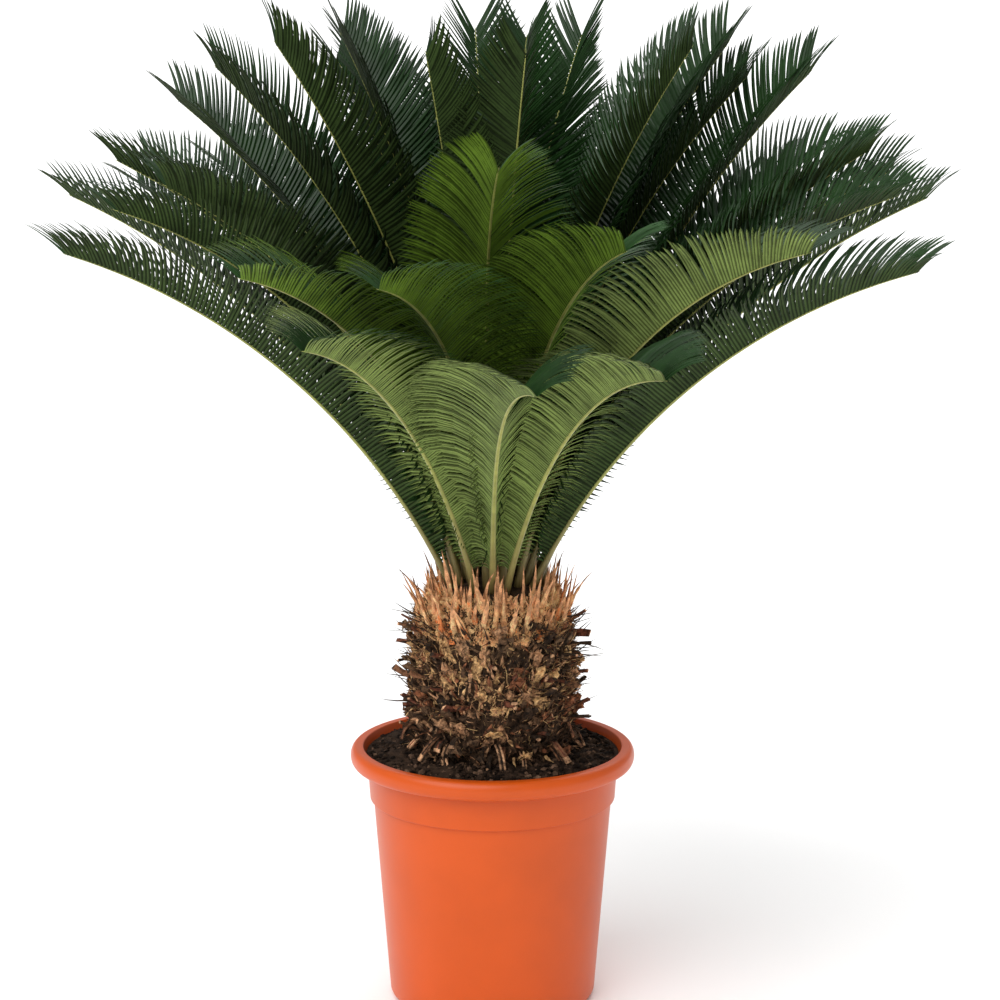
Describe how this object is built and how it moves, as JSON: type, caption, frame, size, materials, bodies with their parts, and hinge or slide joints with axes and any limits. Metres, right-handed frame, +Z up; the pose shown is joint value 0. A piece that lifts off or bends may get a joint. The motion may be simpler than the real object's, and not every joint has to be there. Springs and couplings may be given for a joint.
{
  "type": "sago palm in pot",
  "caption": "Sago palm, a cycad with arching comb-like fronds rising from a short fibrous stem, planted in a round plastic nursery pot with a rolled rim.",
  "frame": {"origin": "centre of the flat underside of the pot", "axes": "+Z up along the pot's axis, -Y towards the front of the plant, +X to its right as seen from the front"},
  "size_m": [1.0508, 1.1427, 1.1666],
  "materials": {
    "pot_plastic": "satin moulded orange plastic",
    "peat": "damp dark crumbly peat",
    "old_leaf_bases": "rough brown fibrous leaf bases",
    "woolly_scales": "tan woolly scale leaves",
    "frond_green": "glossy stiff dark green leaflets"
  },
  "bodies": {
    "root": {"frond_heart_01": "frond_green", "frond_heart_02": "frond_green", "frond_heart_03": "frond_green", "frond_low_01": "frond_green", "frond_low_02": "frond_green", "frond_low_03": "frond_green", "frond_low_05": "frond_green", "frond_low_06": "frond_green", "frond_low_07": "frond_green", "frond_low_08": "frond_green", "frond_low_09": "frond_green", "frond_low_10": "frond_green", "frond_low_11": "frond_green", "frond_low_12": "frond_green", "frond_low_13": "frond_green", "frond_low_14": "frond_green", "frond_low_15": "frond_green", "frond_rising_01": "frond_green", "frond_rising_04": "frond_green", "frond_rising_05": "frond_green", "frond_rising_06": "frond_green", "frond_rising_07": "frond_green", "frond_rising_08": "frond_green", "frond_rising_09": "frond_green", "frond_rising_10": "frond_green", "frond_rising_11": "frond_green", "frond_rising_12": "frond_green", "frond_shoulder_01": "frond_green", "frond_spread_01": "frond_green", "frond_spread_02": "frond_green", "frond_spread_03": "frond_green", "frond_spread_04": "frond_green", "frond_spread_05": "frond_green", "frond_spread_06": "frond_green", "frond_spread_07": "frond_green", "frond_spread_08": "frond_green", "frond_spread_09": "frond_green", "frond_spread_10": "frond_green", "frond_spread_11": "frond_green", "frond_spread_12": "frond_green", "frond_spread_13": "frond_green", "frond_spread_14": "frond_green", "frond_upright_01": "frond_green", "frond_upright_02": "frond_green", "frond_upright_03": "frond_green", "frond_upright_04": "frond_green", "frond_upright_09": "frond_green", "frond_upright_10": "frond_green", "frond_upright_11": "frond_green", "pot": "pot_plastic", "scale_collar": "woolly_scales", "soil": "peat", "trunk": "old_leaf_bases"}
  },
  "joints": []
}
